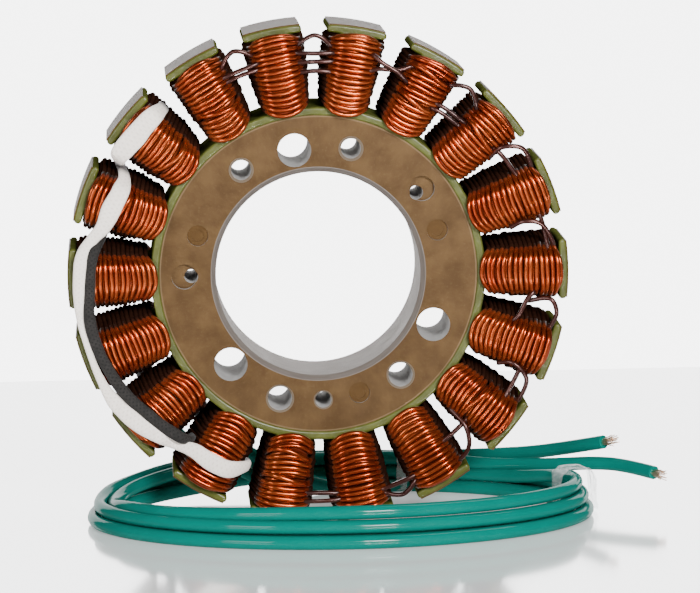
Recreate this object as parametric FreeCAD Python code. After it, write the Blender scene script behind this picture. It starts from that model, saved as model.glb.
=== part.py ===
import FreeCAD, Part
import math
import os

# Wound stator of an outer-rotor alternator: eighteen coils on a laminated steel stack, with two green leads.
# Millimetres, +Z up. The bore axis runs along Y, with the front towards -Y. The values and functions below put the
# front face of the stack at y = 0 and its back at y = STACK_LENGTH. At the end all pieces move forward together by
# half that length, so that the origin is the centre of the bore, midway through the stack.

# How far a shape runs into the one that it is joined to or cut from
OVERLAP = 1.0

# Stack of laminations
STACK_LENGTH = 28.0
OUTER_RADIUS = 60.0
BORE_RADIUS = 24.5
BORE_CHAMFER = 1.1
YOKE_RADIUS = 39.65
TOOTH_COUNT = 18
TOOTH_WIDTH = 6.2
TIP_WIDTH = 13.6
TIP_THICKNESS = 1.95

# Epoxy insulation coat
COAT = 0.35
COAT_CORNER = 0.7
COAT_LAP = 1.65

# Holes in the ring, placed from the symmetry line through one large hole
HOLE_LINE_DEG = 100.0
LARGE_HOLE_DIAMETER = 8.0
LARGE_HOLE_CIRCLE = 30.2
LARGE_HOLE_SPREAD_DEG = 125.0
UPPER_HOLE_DIAMETER = 4.8
UPPER_HOLE_CIRCLE = 31.0
UPPER_HOLE_SPREAD_DEG = 25.5
UPPER_HOLE_CHAMFER = 0.6
LOWER_HOLE_DIAMETER = 5.8
LOWER_HOLE_CIRCLE = 31.4
LOWER_HOLE_SPREAD_DEG = 152.0
LOWER_HOLE_CHAMFER = 0.5
SMALL_HOLE_DIAMETER = 3.9
SMALL_HOLE_CIRCLE = 30.4
SMALL_HOLE_DEG = 171.3
SMALL_HOLE_CHAMFER = 0.35
PILOT_HOLE_DIAMETER = 3.3
PILOT_HOLE_CIRCLE = 30.4
PILOT_RECESS_DIAMETER = 6.0
PILOT_RECESS_CIRCLE = 32.1
PILOT_RECESS_DEPTH = 1.4
PILOT_HOLES_DEG = (80.1, -61.4)

# Rivets that hold the laminations together
RIVET_DIAMETER = 5.0
RIVET_CIRCLE = 30.3
RIVETS_DEG = (61.2, -80.7, -172.0)
RIVET_RECESS = 0.45
RIVET_CLEARANCE = 0.03
RIVET_DISH_DIAMETER = 3.0
RIVET_DISH_DEPTH = 0.3

# Coils of enamelled copper wire
WIRE_DIAMETER = 1.2
TURNS_SHOWN = 14
RIDGE_ROUNDNESS = 0.9
COIL_CLEARANCE = 0.05
COIL_ROOT_THICKNESS = 2.2
COIL_TIP_THICKNESS = 3.2

# Wires that link the coils across the slots: slot angle, distance inside the tips' outer face, y of both ends
LINK_HALF_SPAN = 4.6
LINK_BOW = 1.0
LINK_WIRES = (
    (90.0, 6.4, -2.2),
    (90.0, 9.1, -1.6),
    (110.0, 7.6, -1.8),
    (70.0, 5.8, -2.2),
    (50.0, 9.4, -1.8),
    (30.0, 7.4, -2.2),
    (10.0, 5.0, -1.8),
    (350.0, 8.4, -2.0),
    (330.0, 6.6, -2.2),
    (310.0, 10.0, -1.8),
    (290.0, 6.2, -1.8),
    (270.0, 5.4, -1.4),
)

# Sleeves over the front of the coils: angle, distance inside the tips' outer face, width
SLEEVE_THICKNESS = 1.3
SLEEVE_CLEARANCE = 0.1
SLEEVE_LEG_DEPTH = 9.0
SLEEVE_LEG_WIDTH = 2.6
WHITE_SLEEVE = (
    (129.5, 7.4, 3.2),
    (134.0, 6.0, 4.6),
    (140.0, 5.5, 5.2),
    (147.0, 5.8, 4.4),
    (154.0, 6.6, 3.8),
    (160.0, 7.4, 5.0),
    (167.0, 5.4, 4.0),
    (174.0, 3.0, 2.6),
    (181.0, 2.5, 2.4),
    (190.0, 2.4, 2.4),
    (200.0, 2.6, 2.4),
    (210.0, 3.1, 2.8),
    (219.0, 4.1, 3.6),
    (229.0, 5.8, 3.8),
    (240.0, 7.1, 4.0),
    (249.5, 10.4, 3.4),
)
BLACK_SLEEVE = (
    (170.5, 6.8, 2.2),
    (176.0, 5.6, 2.3),
    (183.0, 5.0, 2.3),
    (192.0, 4.9, 2.3),
    (202.0, 5.3, 2.3),
    (212.0, 6.5, 2.4),
    (221.0, 7.8, 2.4),
    (229.5, 9.4, 2.2),
)

# Leads: two green cables that leave the back, drop to the surface and lie in a loose oval coil round the foot
CABLE_DIAMETER = 3.3
COIL_RING_CENTRE = (5.0, 4.0)
COIL_RING_HALF_LENGTH = 59.5
COIL_RING_HALF_DEPTH = 48.5
COIL_RING_WIDTH = 9.0
COIL_RING_HEIGHT = 10.0
COIL_RING_END_RADIUS = 36.0
COIL_RING_ROUNDING = 2.6

# Heat-shrink sleeves at the back, where each lead joins its coil: distance from the axis and angle of both ends
EXIT_SLEEVE_DIAMETER = 4.6
EXIT_SLEEVE_1 = ((49.0, 207.0), (53.2, 224.1))
EXIT_SLEEVE_2 = ((44.0, 217.0), (47.5, 236.0))

# Route of each drop: from its sleeve, down behind the coils to the surface, and into the foot of the coil ring
DROP_1 = ((-34.6, 36.0, -43.0), (-28.6, 37.2, -47.4), (-21.6, 37.5, -51.0), (-14.4, 37.6, -54.8),
          (-6.8, 39.0, -57.6), (1.2, 41.8, -58.2), (9.0, 45.6, -58.2))
DROP_2 = ((-22.4, 35.6, -44.4), (-16.0, 36.8, -48.6), (-8.8, 37.3, -52.6), (-1.0, 38.0, -56.2),
          (7.0, 39.8, -58.1), (14.6, 42.3, -58.2), (22.6, 44.4, -58.2))

# Route of each free end, from the top of the coil ring out to the cut end
END_1 = ((24.0, 46.8, -51.6), (33.2, 44.6, -51.3), (42.6, 41.4, -50.7), (52.6, 36.8, -49.8), (62.0, 30.6, -47.8),
         (70.0, 22.6, -45.4))
END_2 = ((42.0, 36.4, -52.4), (50.6, 33.4, -52.2), (59.0, 29.4, -51.8), (67.0, 24.6, -50.8), (74.4, 18.8, -50.5),
         (81.0, 9.4, -51.3))
STRAND_DIAMETER = 1.7
STRAND_LENGTH = 3.6

# Clear film ties round the coil ring: angle round the ring as seen from above, and the film's width
TIE_THICKNESS = 0.35
TIE_CLEARANCE = 0.1
TIES = (("tie_right", 8.0, 10.0), ("tie_rear", 72.0, 2.6))


def polar(distance, degrees, y=0.0):
    """The point at a distance from the bore axis and an angle round it."""
    turn = math.radians(degrees)
    return FreeCAD.Vector(distance * math.cos(turn), y, distance * math.sin(turn))


def turned(shape, degrees):
    """A copy of a shape that was drawn round the tooth at angle 0, turned to another tooth."""
    copy = shape.copy()
    copy.rotate(FreeCAD.Vector(0, 0, 0), FreeCAD.Vector(0, -1, 0), degrees)
    return copy


def axial_cylinder(radius, centre, y_from, y_to):
    """A cylinder along the bore axis."""
    base = FreeCAD.Vector(centre.x, y_from, centre.z)
    return Part.makeCylinder(radius, y_to - y_from, base, FreeCAD.Vector(0, 1, 0))


def hole_tool(diameter, centre, chamfer=0.0):
    """What a through hole removes, with a chamfer at both faces."""
    radius = diameter / 2.0
    tool = axial_cylinder(radius, centre, -OVERLAP, STACK_LENGTH + OVERLAP)
    if chamfer > 0.0:
        front = FreeCAD.Vector(centre.x, 0.0, centre.z)
        back = FreeCAD.Vector(centre.x, STACK_LENGTH, centre.z)
        into = FreeCAD.Vector(0, 1, 0)
        tool = tool.fuse(Part.makeCone(radius + chamfer, radius, chamfer, front, into))
        tool = tool.fuse(Part.makeCone(radius + chamfer, radius, chamfer, back, -into))
    return tool


def tip_inner_radius():
    """Distance from the axis to the flat under each tooth tip."""
    edge = math.sqrt(OUTER_RADIUS ** 2 - (TIP_WIDTH / 2.0) ** 2)
    return edge - TIP_THICKNESS + COAT


def tip_prism(half_width, inner, y_from, y_to):
    """One tooth tip: flat underneath, round outside."""
    edge = math.sqrt(OUTER_RADIUS ** 2 - half_width ** 2)
    a = FreeCAD.Vector(inner, y_from, -half_width)
    b = FreeCAD.Vector(edge, y_from, -half_width)
    middle = FreeCAD.Vector(OUTER_RADIUS, y_from, 0.0)
    c = FreeCAD.Vector(edge, y_from, half_width)
    d = FreeCAD.Vector(inner, y_from, half_width)
    edges = [Part.makeLine(a, b), Part.Arc(b, middle, c).toShape(), Part.makeLine(c, d), Part.makeLine(d, a)]
    return Part.Face(Part.Wire(edges)).extrude(FreeCAD.Vector(0, y_to - y_from, 0))


def tooth_and_tip():
    """One bare steel tooth with its tip, overlapping the yoke a little at its root."""
    root = YOKE_RADIUS - OVERLAP
    corner = FreeCAD.Vector(root, 0.0, -TOOTH_WIDTH / 2.0)
    tooth = Part.makeBox(tip_inner_radius() + OVERLAP - root, STACK_LENGTH, TOOTH_WIDTH, corner)
    return tooth.fuse(tip_prism(TIP_WIDTH / 2.0, tip_inner_radius(), 0.0, STACK_LENGTH))


def make_lamination_stack():
    """Ring, teeth and tips as one stack, bored, chamfered and drilled."""
    centre = FreeCAD.Vector(0, 0, 0)
    ring = axial_cylinder(YOKE_RADIUS, centre, 0.0, STACK_LENGTH)
    tooth = tooth_and_tip()
    teeth = [turned(tooth, i * 360.0 / TOOTH_COUNT) for i in range(TOOTH_COUNT)]
    stack = ring.multiFuse(teeth)
    tools = [hole_tool(2.0 * BORE_RADIUS, centre, BORE_CHAMFER)]
    for spread in (0.0, LARGE_HOLE_SPREAD_DEG, -LARGE_HOLE_SPREAD_DEG):
        tools.append(hole_tool(LARGE_HOLE_DIAMETER, polar(LARGE_HOLE_CIRCLE, HOLE_LINE_DEG + spread)))
    for side in (1.0, -1.0):
        upper = polar(UPPER_HOLE_CIRCLE, HOLE_LINE_DEG + side * UPPER_HOLE_SPREAD_DEG)
        tools.append(hole_tool(UPPER_HOLE_DIAMETER, upper, UPPER_HOLE_CHAMFER))
        lower = polar(LOWER_HOLE_CIRCLE, HOLE_LINE_DEG + side * LOWER_HOLE_SPREAD_DEG)
        tools.append(hole_tool(LOWER_HOLE_DIAMETER, lower, LOWER_HOLE_CHAMFER))
    small = polar(SMALL_HOLE_CIRCLE, HOLE_LINE_DEG + SMALL_HOLE_DEG)
    tools.append(hole_tool(SMALL_HOLE_DIAMETER, small, SMALL_HOLE_CHAMFER))
    for angle in PILOT_HOLES_DEG:
        tools.append(hole_tool(PILOT_HOLE_DIAMETER, polar(PILOT_HOLE_CIRCLE, HOLE_LINE_DEG + angle)))
        recess = polar(PILOT_RECESS_CIRCLE, HOLE_LINE_DEG + angle)
        tools.append(axial_cylinder(PILOT_RECESS_DIAMETER / 2.0, recess, -OVERLAP, PILOT_RECESS_DEPTH))
    for angle in RIVETS_DEG:
        tools.append(hole_tool(RIVET_DIAMETER, polar(RIVET_CIRCLE, HOLE_LINE_DEG + angle)))
    for tool in tools:
        stack = stack.cut(tool)
    return stack.removeSplitter()


def coated_tooth():
    """The outside of the coat round one tooth: a bar with rounded long edges."""
    width = TOOTH_WIDTH + 2.0 * COAT
    length = STACK_LENGTH + 2.0 * COAT
    root = YOKE_RADIUS - OVERLAP
    corner = FreeCAD.Vector(root, -COAT, -width / 2.0)
    bar = Part.makeBox(tip_inner_radius() - root, length, width, corner)
    long_edges = [e for e in bar.Edges if abs(e.tangentAt(e.FirstParameter).x) > 0.9]
    return bar.makeFillet(COAT_CORNER, long_edges)


def make_insulation_coat(stack):
    """Epoxy over the teeth, the slot floors and the faces of the tips; the outer faces of the tips stay bare."""
    centre = FreeCAD.Vector(0, 0, 0)
    face_to = STACK_LENGTH + COAT
    ring = axial_cylinder(YOKE_RADIUS + COAT, centre, -COAT, face_to)
    ring = ring.cut(axial_cylinder(YOKE_RADIUS - COAT_LAP, centre, -COAT - OVERLAP, face_to + OVERLAP))
    tip = tip_prism(TIP_WIDTH / 2.0 + COAT, tip_inner_radius() - COAT, -COAT, face_to)
    one = coated_tooth().fuse(tip)
    coat = ring.multiFuse([turned(one, i * 360.0 / TOOTH_COUNT) for i in range(TOOTH_COUNT)])
    coat = coat.cut(stack)
    return coat.removeSplitter()


def with_seats(stack):
    """The same stack, with the bare ring inboard of the coat as a face of its own at the front and the back."""
    inner = axial_cylinder(YOKE_RADIUS - COAT_LAP, FreeCAD.Vector(0, 0, 0), 0.0, STACK_LENGTH)
    return stack.common(inner).fuse(stack.cut(inner)).Solids[0]


def make_rivet(angle):
    """A rivet through the stack, its dished heads a little below both faces."""
    centre = polar(RIVET_CIRCLE, HOLE_LINE_DEG + angle)
    radius = RIVET_DIAMETER / 2.0 - RIVET_CLEARANCE
    low = RIVET_RECESS
    high = STACK_LENGTH - RIVET_RECESS
    rivet = axial_cylinder(radius, centre, low, high)
    dish = RIVET_DISH_DIAMETER / 2.0
    rivet = rivet.cut(axial_cylinder(dish, centre, low - OVERLAP, low + RIVET_DISH_DEPTH))
    return rivet.cut(axial_cylinder(dish, centre, high - RIVET_DISH_DEPTH, high + OVERLAP))


def coil_thickness(distance):
    """Thickness of the winding at a distance from the axis: thicker towards the tip."""
    root = YOKE_RADIUS + COAT
    share = (distance - root) / (tip_inner_radius() - COAT - root)
    return COIL_ROOT_THICKNESS + share * (COIL_TIP_THICKNESS - COIL_ROOT_THICKNESS)


def coil_reach():
    """Distances from the axis at which the winding starts and ends."""
    return YOKE_RADIUS + COAT + COIL_CLEARANCE, tip_inner_radius() - COAT - COIL_CLEARANCE


def beside_tooth(distance, height):
    """The point at a height above the winding's inner face, midway along the stack."""
    return FreeCAD.Vector(distance, STACK_LENGTH / 2.0, TOOTH_WIDTH / 2.0 + COAT + COIL_CLEARANCE + height)


def outline_section():
    """Half of the winding cut across, with a plain outside over the crests of its turns."""
    start, end = coil_reach()
    corners = [(start, 0.0), (start, coil_thickness(start)), (end, coil_thickness(end)), (end, 0.0), (start, 0.0)]
    return Part.Face(Part.makePolygon([beside_tooth(distance, height) for distance, height in corners]))


def coil_section():
    """Half of the winding cut across: flat against the tooth, one round ridge for each turn outside."""
    at = beside_tooth
    start, end = coil_reach()
    pitch = (end - start) / TURNS_SHOWN
    rise = pitch / 2.0 * RIDGE_ROUNDNESS
    edges = [Part.makeLine(at(end, 0.0), at(start, 0.0))]
    edges.append(Part.makeLine(at(start, 0.0), at(start, coil_thickness(start) - rise)))
    for turn in range(TURNS_SHOWN):
        a = start + turn * pitch
        b = a + pitch
        middle = (a + b) / 2.0
        crest = at(middle, coil_thickness(middle))
        foot_a = at(a, coil_thickness(a) - rise)
        foot_b = at(b, coil_thickness(b) - rise)
        edges.append(Part.Arc(foot_a, crest, foot_b).toShape())
    edges.append(Part.makeLine(at(end, coil_thickness(end) - rise), at(end, 0.0)))
    return Part.Face(Part.Wire(edges))


def coil_path():
    """The line that the winding follows round the coated tooth: four straights and four rounded corners."""
    r = COAT_CORNER + COIL_CLEARANCE
    w = TOOTH_WIDTH / 2.0 + COAT - COAT_CORNER
    low = -COAT + COAT_CORNER
    high = STACK_LENGTH + COAT - COAT_CORNER
    x = YOKE_RADIUS + COAT + COIL_CLEARANCE

    def at(y, z):
        return FreeCAD.Vector(x, y, z)

    def corner(cy, cz, from_deg):
        points = []
        for step in (0.0, 45.0, 90.0):
            turn = math.radians(from_deg + step)
            points.append(at(cy + r * math.cos(turn), cz + r * math.sin(turn)))
        return Part.Arc(*points).toShape()

    mid_y = STACK_LENGTH / 2.0
    edges = [
        Part.makeLine(at(mid_y, w + r), at(low, w + r)),
        corner(low, w, 90.0),
        Part.makeLine(at(low - r, w), at(low - r, -w)),
        corner(low, -w, 180.0),
        Part.makeLine(at(low, -w - r), at(high, -w - r)),
        corner(high, -w, 270.0),
        Part.makeLine(at(high + r, -w), at(high + r, w)),
        corner(high, w, 0.0),
        Part.makeLine(at(high, w + r), at(mid_y, w + r)),
    ]
    return Part.Wire(edges)


def swept_round_tooth(section):
    """The solid that a section makes when it follows the winding's line."""
    winding = coil_path().makePipe(section)
    if winding.ShapeType != "Solid":
        winding = Part.Solid(winding.Shells[0])
    return winding


def make_link_wire(slot, inside, y, outline):
    """A wire bowed across one slot, from the outline of the coil on one side to that on the other."""
    distance = OUTER_RADIUS - inside
    reach = math.degrees(LINK_HALF_SPAN / distance)
    start = polar(distance, slot - reach, y)
    middle = polar(distance + LINK_BOW, slot, y - LINK_BOW)
    path = Part.Arc(start, middle, polar(distance, slot + reach, y))
    circle = Part.Circle(start, path.tangent(path.FirstParameter)[0], WIRE_DIAMETER / 2.0)
    wire = Part.Wire([path.toShape()]).makePipe(Part.Face(Part.Wire([circle.toShape()])))
    for side in (-0.5, 0.5):
        wire = wire.cut(turned(outline, slot + side * 360.0 / TOOTH_COUNT))
    return max(wire.Solids, key=lambda piece: piece.Volume)


def make_sleeve(rows, coils):
    """A flattened sleeve over the front of the coils, its two ends turned back into the slots."""
    stations = [(angle, OUTER_RADIUS - inside, width) for angle, inside, width in rows]
    farthest = max(distance + width / 2.0 for angle, distance, width in stations)
    back = -COAT - COIL_CLEARANCE - coil_thickness(farthest) - SLEEVE_CLEARANCE
    front = back - SLEEVE_THICKNESS
    outer = [polar(distance + width / 2.0, angle, front) for angle, distance, width in stations]
    inner = [polar(distance - width / 2.0, angle, front) for angle, distance, width in reversed(stations)]
    curve_out = Part.BSplineCurve()
    curve_out.interpolate(outer)
    curve_in = Part.BSplineCurve()
    curve_in.interpolate(inner)
    edges = [
        curve_out.toShape(),
        Part.makeLine(outer[-1], inner[0]),
        curve_in.toShape(),
        Part.makeLine(inner[-1], outer[0]),
    ]
    sleeve = Part.Face(Part.Wire(edges)).extrude(FreeCAD.Vector(0, SLEEVE_THICKNESS, 0))
    for angle, distance, width in (stations[0], stations[-1]):
        corner = FreeCAD.Vector(distance - width / 2.0, front, -SLEEVE_LEG_WIDTH / 2.0)
        leg = Part.makeBox(width, SLEEVE_LEG_DEPTH, SLEEVE_LEG_WIDTH, corner)
        sleeve = sleeve.fuse(turned(leg, angle))
    for coil in coils:
        sleeve = sleeve.cut(coil)
    return sleeve.removeSplitter()


def rounded_route(points, name):
    """Straight runs through the points, each corner replaced by a tangent arc; prints the arcs' radii."""
    spots = [FreeCAD.Vector(*p) for p in points]
    edges = []
    radii = []
    last = spots[0]
    for i in range(1, len(spots) - 1):
        before = spots[i - 1] - spots[i]
        after = spots[i + 1] - spots[i]
        turn = math.pi - before.getAngle(after)
        trim = 0.45 * min(before.Length, after.Length)
        radii.append(trim / math.tan(turn / 2.0))
        before.normalize()
        after.normalize()
        a = spots[i] + before * trim
        b = spots[i] + after * trim
        bisector = before + after
        bisector.normalize()
        depth = radii[-1] / math.cos(turn / 2.0) - radii[-1]
        middle = spots[i] + bisector * depth
        edges.append(Part.makeLine(last, a))
        edges.append(Part.Arc(a, middle, b).toShape())
        last = b
    edges.append(Part.makeLine(last, spots[-1]))
    wire = Part.Wire(edges)
    print(name, "length", round(wire.Length, 1), "radii", [round(r, 1) for r in radii])
    return wire


def make_tube(points, diameter, name):
    """A round tube along a rounded route, with its volume compared with section times length."""
    path = rounded_route(points, name)
    start = FreeCAD.Vector(*points[0])
    direction = FreeCAD.Vector(*points[1]) - start
    circle = Part.Wire([Part.Circle(start, direction, diameter / 2.0).toShape()])
    tube = path.makePipeShell([circle], True, False)
    ratio = tube.Volume / (math.pi * diameter ** 2 / 4.0 * path.Length)
    print(name, "volume over section times length", round(ratio, 4))
    return tube


def floor_level():
    """Height of the surface that the stator's two lowest tips stand on."""
    half_tip = math.degrees(math.asin((TIP_WIDTH / 2.0 + COAT) / OUTER_RADIUS))
    from_straight_down = max(0.0, 180.0 / TOOTH_COUNT - half_tip)
    return -OUTER_RADIUS * math.cos(math.radians(from_straight_down))


def oval_path(z):
    """The middle line of the coiled leads: four arcs that meet smoothly, level with the surface."""
    half_length = COIL_RING_HALF_LENGTH - COIL_RING_WIDTH / 2.0
    half_depth = COIL_RING_HALF_DEPTH - COIL_RING_WIDTH / 2.0
    end = COIL_RING_END_RADIUS
    side = ((half_length - end) ** 2 + half_depth ** 2 - end ** 2) / (2.0 * (half_depth - end))
    lean = math.atan2(side - half_depth, half_length - end)
    x = COIL_RING_CENTRE[0]
    y = COIL_RING_CENTRE[1]

    def arc(cx, cy, radius, start, stop):
        points = []
        for share in (0.0, 0.5, 1.0):
            turn = start + share * (stop - start)
            points.append(FreeCAD.Vector(x + cx + radius * math.cos(turn), y + cy + radius * math.sin(turn), z))
        return Part.Arc(*points).toShape()

    edges = [
        arc(half_length - end, 0.0, end, -lean, lean),
        arc(0.0, half_depth - side, side, lean, math.pi - lean),
        arc(end - half_length, 0.0, end, math.pi - lean, math.pi + lean),
        arc(0.0, side - half_depth, side, math.pi + lean, 2.0 * math.pi - lean),
    ]
    return Part.Wire(edges)


def ring_section(start, heading, extra):
    """The rounded section of the coiled leads, standing across the path at its start."""
    half_width = COIL_RING_WIDTH / 2.0 + extra
    half_height = COIL_RING_HEIGHT / 2.0 + extra
    radius = COIL_RING_ROUNDING + extra
    across = FreeCAD.Vector(heading.y, -heading.x, 0.0)
    up = FreeCAD.Vector(0, 0, 1)
    edges = []
    last = None
    for quarter, (side, rise) in enumerate(((1, 1), (-1, 1), (-1, -1), (1, -1))):
        centre = start + across * (side * (half_width - radius)) + up * (rise * (half_height - radius))
        points = []
        for step in (0.0, 45.0, 90.0):
            turn = math.radians(90.0 * quarter + step)
            points.append(centre + across * (radius * math.cos(turn)) + up * (radius * math.sin(turn)))
        if last:
            edges.append(Part.makeLine(last, points[0]))
        edges.append(Part.Arc(*points).toShape())
        last = points[2]
    edges.append(Part.makeLine(last, edges[0].valueAt(edges[0].FirstParameter)))
    return Part.Face(Part.Wire(edges))


def make_coil_ring(extra=0.0):
    """The outer shape of the coiled leads, lying on the surface; extra makes it larger all round."""
    path = oval_path(floor_level() + COIL_RING_HEIGHT / 2.0)
    first = path.Edges[0]
    section = ring_section(first.valueAt(first.FirstParameter), first.tangentAt(first.FirstParameter), extra)
    return path.makePipe(section)


def sleeve_ends(ends):
    """The two end points of a heat-shrink sleeve that lies on the back of the coils."""
    farthest = max(distance for distance, angle in ends)
    back = STACK_LENGTH + COAT + COIL_CLEARANCE + coil_thickness(farthest)
    y = back + SLEEVE_CLEARANCE + EXIT_SLEEVE_DIAMETER / 2.0
    return [polar(distance, angle, y) for distance, angle in ends]


def make_exit_sleeve(ends):
    """Heat-shrink sleeve over the joint between a coil and its lead."""
    a, b = sleeve_ends(ends)
    return Part.makeCylinder(EXIT_SLEEVE_DIAMETER / 2.0, (b - a).Length, a, b - a)


def make_strands(points):
    """The bare strands at a cut end of a lead."""
    tip = FreeCAD.Vector(*points[-1])
    direction = tip - FreeCAD.Vector(*points[-2])
    direction.normalize()
    return Part.makeCylinder(STRAND_DIAMETER / 2.0, STRAND_LENGTH, tip, direction)


def make_tie(ring_angle, width):
    """A band of clear film round the coil of leads at one place."""
    turn = math.radians(ring_angle)
    mid_length = COIL_RING_HALF_LENGTH - COIL_RING_WIDTH / 2.0
    mid_depth = COIL_RING_HALF_DEPTH - COIL_RING_WIDTH / 2.0
    centre = FreeCAD.Vector(
        COIL_RING_CENTRE[0] + mid_length * math.cos(turn), COIL_RING_CENTRE[1] + mid_depth * math.sin(turn), 0.0
    )
    heading = math.degrees(math.atan2(mid_depth * math.cos(turn), -mid_length * math.sin(turn)))
    band = make_coil_ring(TIE_CLEARANCE + TIE_THICKNESS).cut(make_coil_ring(TIE_CLEARANCE))
    reach = 2.0 * COIL_RING_WIDTH
    window = Part.makeBox(width, reach, 2.0 * COIL_RING_HEIGHT, FreeCAD.Vector(-width / 2.0, -reach / 2.0, 0.0))
    window.rotate(FreeCAD.Vector(0, 0, 0), FreeCAD.Vector(0, 0, 1), heading)
    window.translate(centre + FreeCAD.Vector(0, 0, floor_level()))
    return band.common(window)


def lead_solids(coil_ring):
    """The parts of both leads that lie outside the coil, their bare strands and their sleeves."""
    solids = {}
    for number, sleeve, drop, end in ((1, EXIT_SLEEVE_1, DROP_1, END_1), (2, EXIT_SLEEVE_2, DROP_2, END_2)):
        exit_sleeve = make_exit_sleeve(sleeve)
        joint = tuple(sleeve_ends(sleeve)[1])
        drop_tube = make_tube((joint,) + drop, CABLE_DIAMETER, "drop %d" % number)
        end_tube = make_tube(end, CABLE_DIAMETER, "end %d" % number)
        outside = drop_tube.cut(coil_ring).cut(exit_sleeve)
        solids["exit_sleeve_%d" % number] = exit_sleeve
        solids["lead_%d_drop" % number] = max(outside.Solids, key=lambda piece: piece.Volume)
        outside = end_tube.cut(coil_ring)
        solids["lead_%d_end" % number] = max(outside.Solids, key=lambda piece: piece.Volume)
        solids["lead_%d_strands" % number] = make_strands(end)
    return solids


def build():
    """Every piece of the stator, by name."""
    pieces = {}
    stack = make_lamination_stack()
    pieces["lamination_stack"] = with_seats(stack)
    pieces["insulation_coat"] = make_insulation_coat(stack)
    for number, angle in enumerate(RIVETS_DEG, start=1):
        pieces["rivet_%d" % number] = make_rivet(angle)
    coil = swept_round_tooth(coil_section())
    outline = swept_round_tooth(outline_section())
    coils = []
    for i in range(TOOTH_COUNT):
        coils.append(turned(coil, i * 360.0 / TOOTH_COUNT))
        pieces["coil_%02d" % (i + 1)] = coils[-1]
    for number, (slot, distance, y) in enumerate(LINK_WIRES, start=1):
        pieces["link_wire_%02d" % number] = make_link_wire(slot, distance, y, outline)
    pieces["white_sleeve"] = make_sleeve(WHITE_SLEEVE, coils)
    pieces["black_sleeve"] = make_sleeve(BLACK_SLEEVE, coils).cut(pieces["white_sleeve"])
    ring = make_coil_ring()
    pieces["lead_coil"] = ring
    pieces.update(lead_solids(ring))
    for name, angle, width in TIES:
        pieces[name] = make_tie(angle, width)
    for shape in pieces.values():
        shape.translate(FreeCAD.Vector(0.0, -STACK_LENGTH / 2.0, 0.0))
    return pieces


os.makedirs("parts", exist_ok=True)
for name, shape in build().items():
    shape.exportStep(os.path.join("parts", name + ".step"))
    box = shape.BoundBox
    print(
        "%-18s %s solids %d volume %9.1f x %6.1f %6.1f y %6.1f %6.1f z %6.1f %6.1f"
        % (name, "valid" if shape.isValid() else "INVALID", len(shape.Solids), shape.Volume,
           box.XMin, box.XMax, box.YMin, box.YMax, box.ZMin, box.ZMax)
    )
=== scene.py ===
import math
import random

import bmesh
import bpy
from mathutils import Matrix, Vector, noise


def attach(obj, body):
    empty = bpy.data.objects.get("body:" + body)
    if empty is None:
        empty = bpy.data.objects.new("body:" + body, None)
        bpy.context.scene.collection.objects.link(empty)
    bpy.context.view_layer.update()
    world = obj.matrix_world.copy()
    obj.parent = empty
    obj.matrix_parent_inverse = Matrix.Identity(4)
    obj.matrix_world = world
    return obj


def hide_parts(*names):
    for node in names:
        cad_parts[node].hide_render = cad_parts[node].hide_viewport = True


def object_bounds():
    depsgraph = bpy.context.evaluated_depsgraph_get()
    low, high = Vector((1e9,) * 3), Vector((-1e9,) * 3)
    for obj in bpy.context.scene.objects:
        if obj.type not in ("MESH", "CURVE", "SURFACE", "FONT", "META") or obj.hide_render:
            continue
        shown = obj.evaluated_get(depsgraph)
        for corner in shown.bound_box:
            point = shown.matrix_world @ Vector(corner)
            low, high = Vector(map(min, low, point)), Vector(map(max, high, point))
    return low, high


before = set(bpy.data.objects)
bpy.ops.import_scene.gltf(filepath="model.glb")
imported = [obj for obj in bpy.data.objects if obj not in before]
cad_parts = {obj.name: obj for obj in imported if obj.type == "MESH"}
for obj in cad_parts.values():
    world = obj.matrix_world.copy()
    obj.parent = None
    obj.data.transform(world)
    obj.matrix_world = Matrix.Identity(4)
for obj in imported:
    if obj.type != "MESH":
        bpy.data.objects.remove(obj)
cad_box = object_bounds()

# Wound stator: the looks of its steel, epoxy coat, coils, sleeves and green leads, its stage and its camera.
# Metres. The origin is the centre of the bore, midway through the stack; the front faces -Y and +Z is up.

FLOOR_Z = cad_box[0][2]

# Stack, teeth and coat
HALF_STACK = 0.014
BORE_EDGE = 0.0257
OUTER_RADIUS = 0.060
TOOTH_COUNT = 18
TOOTH_HALF_WIDTH = 0.00345
TIP_HALF_WIDTH = 0.00715
TIP_INNER = 0.05766
COAT = 0.00035
COAT_INNER_RADIUS = 0.038
COAT_ROOT_RADIUS = 0.040
COAT_OUTER_RADIUS = 0.0598
COAT_ROUNDING = 0.00055
COAT_WAVE = 0.00010
COAT_STEPS = 4
SLOT_FILLET = 0.0008
TIP_FILLET = 0.0007

# Coils: the wire, its turns, how each turn bows, strays and bulges, and how much fuller some coils are
WIRE_DIAMETER = 0.00115
TURNS = 15
FIRST_TURN = 0.04065
LAST_TURN = 0.0570
COIL_BASE = 0.0035
THICKNESS_AT_ROOT = 0.0022
THICKNESS_AT_TIP = 0.0032
CORNER_BASE = 0.00075
BOW_AT_ROOT = -0.0021
BOW_AT_TIP = 0.0010
DOME = 0.00045
SIDE_STAGGER = 0.00009
SIDE_BULGE = 0.00095
TURN_NUDGE = 0.00010
TURN_WAVE = 0.00007
TURN_LIFT = 0.00006
WAVE_ACROSS = 330.0
WAVE_PER_TURN = 3.7
WAVE_PER_LAYER = 9000.0
CROSSING_REACH = 0.0013
CROSSING_LIFT = 0.0010
UNDER_LAYER = 0.0010
# How far past the stack's faces the wire's painted shade in the slots is full, and where it has faded out
SLOT_DARK_FROM = 0.0006
SLOT_DARK_TO = 0.0025
OUTER_SIDES = 10
UNDER_SIDES = 6
FIRST_COIL_SEED = 40
FULLER_COILS = {0: 1.3, 1: 1.3, 7: 1.7, 8: 1.9, 9: 1.9, 10: 1.9, 11: 1.9, 12: 1.8, 16: 1.3, 17: 1.3}
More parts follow.
